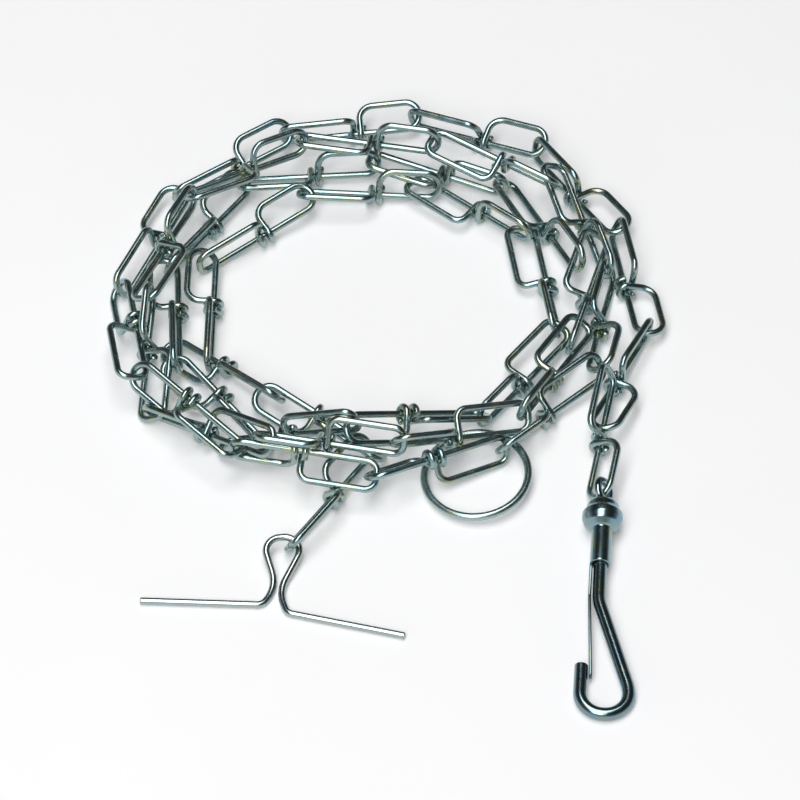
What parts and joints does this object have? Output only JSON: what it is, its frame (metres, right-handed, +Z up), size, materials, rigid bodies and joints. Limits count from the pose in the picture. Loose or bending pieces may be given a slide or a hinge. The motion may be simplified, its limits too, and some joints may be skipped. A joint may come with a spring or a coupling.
{
  "type": "heap of knotted steel chain with snap hook",
  "caption": "Coiled heap of knotted steel wire chain, with a bent-wire toggle at one end, a loose ring and a swivel snap hook at the other.",
  "frame": {"origin": "on the floor, under the middle of the model's outline", "axes": "+Z up from the floor, +Y away from the snap hook's bend, +X from the toggle's side to the hook's side"},
  "size_m": [0.1908, 0.2622, 0.0251],
  "materials": {
    "zinc_link": "bright zinc plate",
    "zinc_ring": "bright zinc plate",
    "zinc_toggle": "bright zinc plate",
    "zinc_eye": "bright zinc plate",
    "zinc_barrel": "bright zinc plate",
    "zinc_hook": "bright zinc plate",
    "spring_gate": "bright zinc plate"
  },
  "bodies": {
    "chain": {"link_01": "zinc_link", "link_02": "zinc_link", "link_03": "zinc_link", "link_04": "zinc_link", "link_05": "zinc_link", "link_06": "zinc_link", "link_07": "zinc_link", "link_08": "zinc_link", "link_09": "zinc_link", "link_10": "zinc_link", "link_11": "zinc_link", "link_12": "zinc_link", "link_13": "zinc_link", "link_14": "zinc_link", "link_15": "zinc_link", "link_16": "zinc_link", "link_17": "zinc_link", "link_18": "zinc_link", "link_19": "zinc_link", "link_20": "zinc_link", "link_21": "zinc_link", "link_22": "zinc_link", "link_23": "zinc_link", "link_24": "zinc_link", "link_25": "zinc_link", "link_26": "zinc_link", "link_27": "zinc_link", "link_28": "zinc_link", "link_29": "zinc_link", "link_30": "zinc_link", "link_31": "zinc_link", "link_32": "zinc_link", "link_33": "zinc_link", "link_34": "zinc_link", "link_35": "zinc_link", "link_36": "zinc_link", "link_37": "zinc_link", "link_38": "zinc_link", "link_39": "zinc_link", "link_40": "zinc_link", "link_41": "zinc_link", "link_42": "zinc_link", "ring": "zinc_ring", "toggle": "zinc_toggle", "swivel_eye": "zinc_eye"},
    "hook": {"swivel_barrel": "zinc_barrel", "hook_wire": "zinc_hook", "gate_root": "spring_gate"},
    "gate": {"gate_leaf": "spring_gate"}
  },
  "joints": [
    {"name": "hook_swivel", "type": "hinge", "parent": "chain", "child": "hook", "pos_m": [0.07144, -0.04858, 0.00717], "axis": [-0.0691, -0.9956, -0.0639], "continuous": true},
    {"name": "gate_flex", "type": "hinge", "parent": "hook", "child": "gate", "pos_m": [0.06594, -0.08521, 0.00481], "axis": [-0.0044, -0.0637, 0.998], "range_deg": [0, 12], "stiffness_Nm_per_rad": 0.4, "springref_deg": -5.73}
  ]
}
